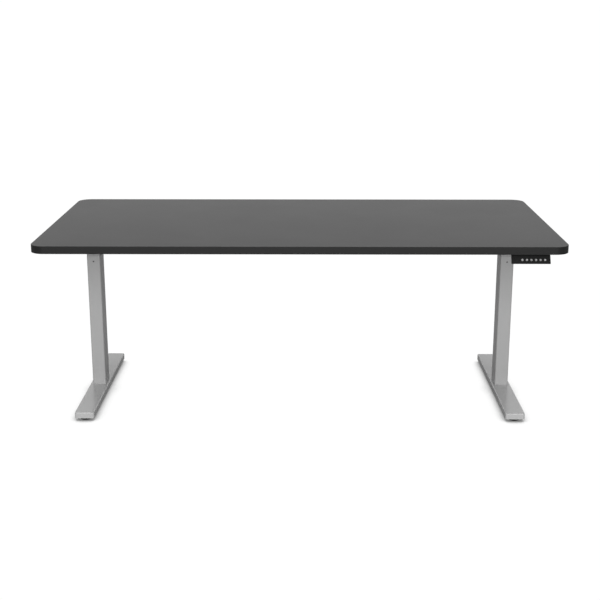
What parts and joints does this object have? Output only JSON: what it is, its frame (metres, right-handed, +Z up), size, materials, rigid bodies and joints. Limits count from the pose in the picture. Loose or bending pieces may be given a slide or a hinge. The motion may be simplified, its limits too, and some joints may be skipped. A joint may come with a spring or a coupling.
{
  "type": "height adjustable standing desk",
  "caption": "Electric sit-stand desk: black rectangular worktop with round corners on grey telescopic columns and long flat feet, with a small keypad under the front edge.",
  "frame": {"origin": "on the floor, under the middle of the worktop, with the columns fully lowered", "axes": "+Z up, +X along the worktop's long side to the right of a person sitting at it, -Y towards that person"},
  "size_m": [1.829, 0.914, 0.669],
  "materials": {
    "frame_paint": "satin",
    "worktop_laminate": "satin",
    "bare_steel": "satin",
    "black_plastic": "matte",
    "bush_plastic": "matte",
    "nut_plastic": "satin",
    "worm_brass": "satin",
    "gear_case": "satin",
    "motor_can": "satin",
    "board_laminate": "satin",
    "button_grey": "satin",
    "pad_rubber": "matte"
  },
  "bodies": {
    "base": {"left_foot": "frame_paint", "left_outer_tube": "frame_paint", "left_base_plate": "bare_steel", "left_lower_bush": "bush_plastic", "left_lower_screw": "bare_steel", "right_foot": "frame_paint", "right_outer_tube": "frame_paint", "right_base_plate": "bare_steel", "right_lower_bush": "bush_plastic", "right_lower_screw": "bare_steel", "foot_bolts": "bare_steel", "bush_screws": "bare_steel"},
    "top": {"left_inner_tube": "frame_paint", "left_gearbox": "gear_case", "left_motor": "motor_can", "left_head": "frame_paint", "left_side_bracket": "frame_paint", "right_inner_tube": "frame_paint", "right_gearbox": "gear_case", "right_motor": "motor_can", "right_head": "frame_paint", "right_side_bracket": "frame_paint", "front_rail": "frame_paint", "back_rail": "frame_paint", "frame_bolts": "bare_steel", "tabletop": "worktop_laminate", "wood_screws": "bare_steel", "control_box": "black_plastic", "control_box_lid": "black_plastic", "keypad_housing": "black_plastic", "keypad_front": "black_plastic", "keypad_board": "board_laminate"},
    "left_mid": {"left_middle_tube": "frame_paint", "left_upper_bush": "bush_plastic", "left_middle_plate": "bare_steel", "left_nut_tube": "bare_steel", "left_upper_nut": "nut_plastic"},
    "left_drive": {"left_drive_tube": "bare_steel"},
    "left_upper": {"left_upper_screw": "bare_steel", "left_worm_wheel": "nut_plastic"},
    "left_worm_shaft": {"left_worm": "worm_brass"},
    "right_mid": {"right_middle_tube": "frame_paint", "right_upper_bush": "bush_plastic", "right_middle_plate": "bare_steel", "right_nut_tube": "bare_steel", "right_upper_nut": "nut_plastic"},
    "right_drive": {"right_drive_tube": "bare_steel"},
    "right_upper": {"right_upper_screw": "bare_steel", "right_worm_wheel": "nut_plastic"},
    "right_worm_shaft": {"right_worm": "worm_brass"},
    "up_button": {"up_button": "button_grey"},
    "down_button": {"down_button": "button_grey"},
    "preset_1_button": {"preset_1_button": "button_grey"},
    "preset_2_button": {"preset_2_button": "button_grey"},
    "preset_3_button": {"preset_3_button": "button_grey"},
    "memory_button": {"memory_button": "button_grey"},
    "front_left_glide": {"front_left_glide": "pad_rubber"},
    "back_left_glide": {"back_left_glide": "pad_rubber"},
    "front_right_glide": {"front_right_glide": "pad_rubber"},
    "back_right_glide": {"back_right_glide": "pad_rubber"}
  },
  "joints": [
    {"name": "lift", "type": "slide", "parent": "base", "child": "top", "axis": [0, 0, 1], "range_m": [0, 0.65]},
    {"name": "left_middle_slide", "type": "slide", "parent": "base", "child": "left_mid", "axis": [0, 0, 1], "range_m": [0, 0.325]},
    {"name": "left_drive_spin", "type": "hinge", "parent": "left_mid", "child": "left_drive", "pos_m": [-0.7765, 0, 0.3], "axis": [0, 0, 1], "range_deg": [0, 9000]},
    {"name": "left_screw_spin", "type": "hinge", "parent": "top", "child": "left_upper", "pos_m": [-0.7765, 0, 0.3], "axis": [0, 0, 1], "range_deg": [0, 9000]},
    {"name": "left_worm_spin", "type": "hinge", "parent": "top", "child": "left_worm_shaft", "pos_m": [-0.7765, 0.0214, 0.591], "axis": [1, 0, 0], "range_deg": [0, 270000]},
    {"name": "right_middle_slide", "type": "slide", "parent": "base", "child": "right_mid", "axis": [0, 0, 1], "range_m": [0, 0.325]},
    {"name": "right_drive_spin", "type": "hinge", "parent": "right_mid", "child": "right_drive", "pos_m": [0.7765, 0, 0.3], "axis": [0, 0, 1], "range_deg": [0, 9000]},
    {"name": "right_screw_spin", "type": "hinge", "parent": "top", "child": "right_upper", "pos_m": [0.7765, 0, 0.3], "axis": [0, 0, 1], "range_deg": [0, 9000]},
    {"name": "right_worm_spin", "type": "hinge", "parent": "top", "child": "right_worm_shaft", "pos_m": [0.7765, 0.0214, 0.591], "axis": [1, 0, 0], "range_deg": [0, 270000]},
    {"name": "up_button_press", "type": "slide", "parent": "top", "child": "up_button", "axis": [0, 0.8746, -0.4848], "range_m": [0, 0.0008], "stiffness_N_per_m": 2500},
    {"name": "down_button_press", "type": "slide", "parent": "top", "child": "down_button", "axis": [0, 0.8746, -0.4848], "range_m": [0, 0.0008], "stiffness_N_per_m": 2500},
    {"name": "preset_1_button_press", "type": "slide", "parent": "top", "child": "preset_1_button", "axis": [0, 0.8746, -0.4848], "range_m": [0, 0.0008], "stiffness_N_per_m": 2500},
    {"name": "preset_2_button_press", "type": "slide", "parent": "top", "child": "preset_2_button", "axis": [0, 0.8746, -0.4848], "range_m": [0, 0.0008], "stiffness_N_per_m": 2500},
    {"name": "preset_3_button_press", "type": "slide", "parent": "top", "child": "preset_3_button", "axis": [0, 0.8746, -0.4848], "range_m": [0, 0.0008], "stiffness_N_per_m": 2500},
    {"name": "memory_button_press", "type": "slide", "parent": "top", "child": "memory_button", "axis": [0, 0.8746, -0.4848], "range_m": [0, 0.0008], "stiffness_N_per_m": 2500},
    {"name": "front_left_glide_turn", "type": "hinge", "parent": "base", "child": "front_left_glide", "pos_m": [-0.7765, -0.318, 0], "axis": [0, 0, -1], "range_deg": [0, 2880]},
    {"name": "back_left_glide_turn", "type": "hinge", "parent": "base", "child": "back_left_glide", "pos_m": [-0.7765, 0.318, 0], "axis": [0, 0, -1], "range_deg": [0, 2880]},
    {"name": "front_right_glide_turn", "type": "hinge", "parent": "base", "child": "front_right_glide", "pos_m": [0.7765, -0.318, 0], "axis": [0, 0, -1], "range_deg": [0, 2880]},
    {"name": "back_right_glide_turn", "type": "hinge", "parent": "base", "child": "back_right_glide", "pos_m": [0.7765, 0.318, 0], "axis": [0, 0, -1], "range_deg": [0, 2880]}
  ],
  "couplings": [
    {"joint": "left_middle_slide", "follows": "lift", "ratio": 0.5},
    {"joint": "left_drive_spin", "follows": "lift", "rad_per_m": 241.66},
    {"joint": "left_screw_spin", "follows": "lift", "rad_per_m": 241.66},
    {"joint": "left_worm_spin", "follows": "lift", "rad_per_m": 7249.8},
    {"joint": "right_middle_slide", "follows": "lift", "ratio": 0.5},
    {"joint": "right_drive_spin", "follows": "lift", "rad_per_m": 241.66},
    {"joint": "right_screw_spin", "follows": "lift", "rad_per_m": 241.66},
    {"joint": "right_worm_spin", "follows": "lift", "rad_per_m": 7249.8}
  ]
}
